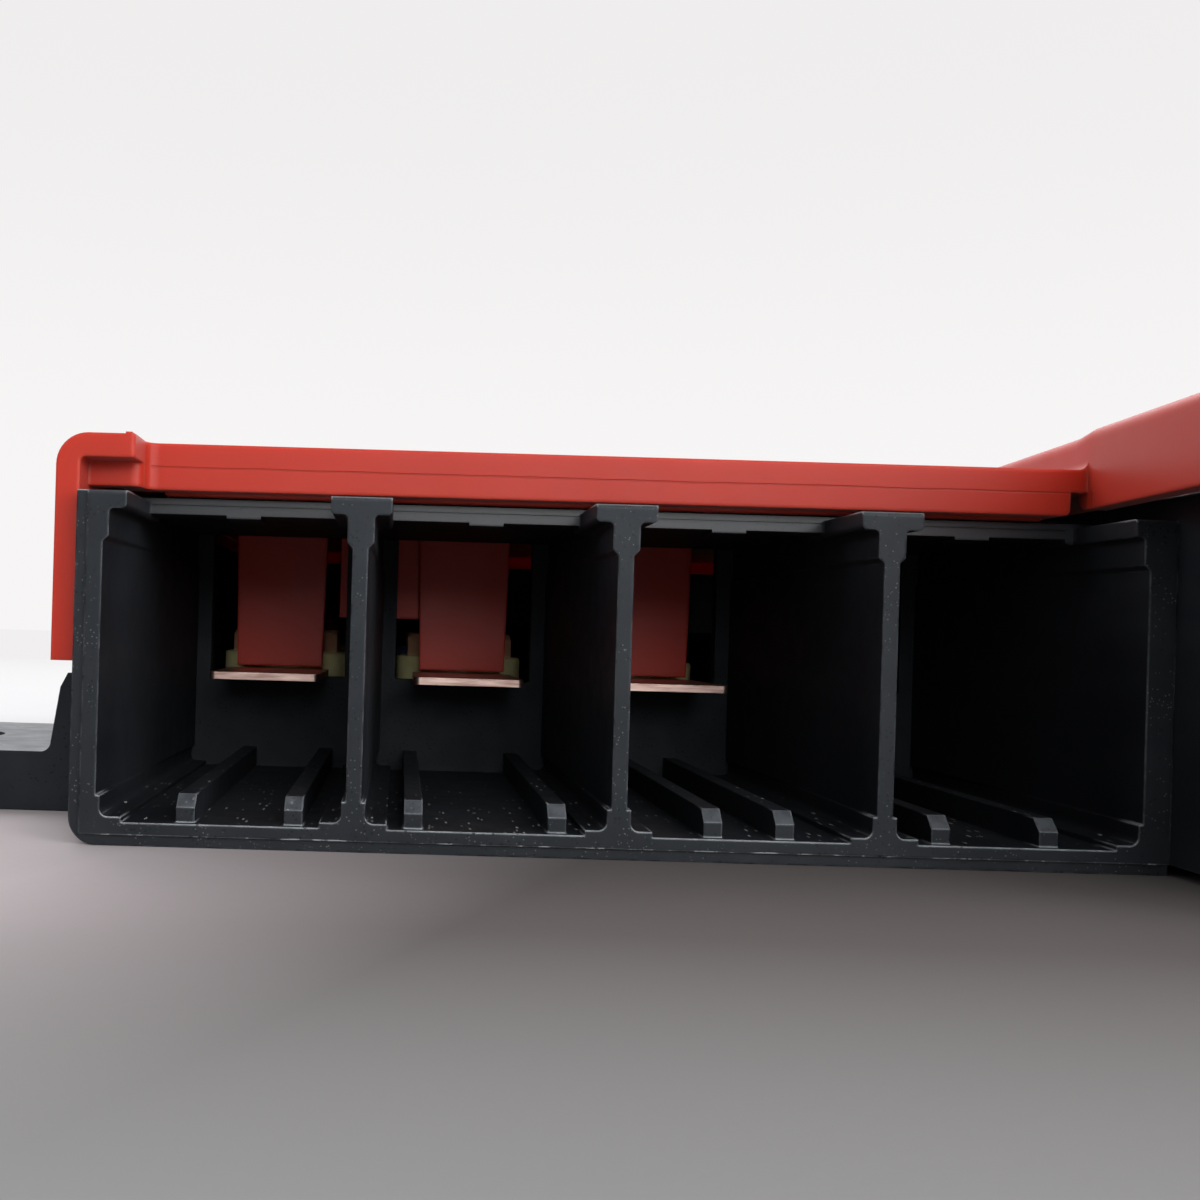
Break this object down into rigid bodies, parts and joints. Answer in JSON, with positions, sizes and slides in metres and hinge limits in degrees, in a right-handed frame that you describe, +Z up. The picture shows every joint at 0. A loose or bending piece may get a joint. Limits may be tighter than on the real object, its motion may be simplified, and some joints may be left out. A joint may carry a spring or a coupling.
{
  "type": "battery terminal fuse box",
  "caption": "Battery-terminal fuse box with open coded connector ways, bolt-down cartridge fuses on a busbar, a post clamp and a hinged red lid.",
  "frame": {"origin": "middle of the footprint, on the flat underside", "axes": "+Z up; the connector ways open towards -Y; the mounting lug is at -X and the battery block at +X"},
  "size_m": [0.1724, 0.154, 0.0383],
  "materials": {
    "housing_black": "fine-textured black glass-filled nylon, bluish grey sheen on lit faces",
    "lid_red": "satin signal-red polypropylene",
    "blade_copper": "bare copper strip with a bright sheared edge",
    "link_alloy": "tinned copper-alloy strip",
    "fuse_body_grey": "moulded grey thermoset",
    "fuse_lid_1": "moulded amber cap",
    "fuse_lid_2": "moulded blue cap",
    "fuse_lid_3": "moulded grey cap",
    "stud_steel": "zinc-plated steel thread",
    "nut_yellow_zinc": "yellow-passivated zinc",
    "busbar_tinned": "tin-plated copper bar",
    "clamp_brass": "cast brass",
    "clamp_steel": "zinc-plated steel",
    "pin_steel": "drawn steel wire"
  },
  "bodies": {
    "base": {"way_housing": "housing_black", "fuse_tray": "housing_black", "battery_block": "housing_black", "mounting_lug": "housing_black", "outlet_blade_1": "blade_copper", "outlet_blade_2": "blade_copper", "outlet_blade_3": "blade_copper", "fuse_link_1": "link_alloy", "fuse_link_2": "link_alloy", "fuse_link_3": "link_alloy", "fuse_body_1": "fuse_body_grey", "fuse_body_2": "fuse_body_grey", "fuse_body_3": "fuse_body_grey", "fuse_lid_1": "fuse_lid_1", "fuse_lid_2": "fuse_lid_2", "fuse_lid_3": "fuse_lid_3", "front_studs": "stud_steel", "front_nuts": "nut_yellow_zinc", "rear_studs": "stud_steel", "rear_nuts": "nut_yellow_zinc", "input_busbar": "busbar_tinned", "battery_clamp": "clamp_brass", "clamp_bolt": "clamp_steel", "clamp_washer": "clamp_steel", "clamp_nut": "clamp_steel", "joint_stud": "stud_steel", "joint_nut": "nut_yellow_zinc", "feed_stud": "stud_steel", "feed_nut": "nut_yellow_zinc", "hinge_pins": "pin_steel"},
    "lid": {"lid": "lid_red"}
  },
  "joints": [
    {"name": "lid_hinge", "type": "hinge", "parent": "base", "child": "lid", "pos_m": [0, 0.0735, 0.031], "axis": [-1, 0, 0], "range_deg": [0, 110]}
  ]
}
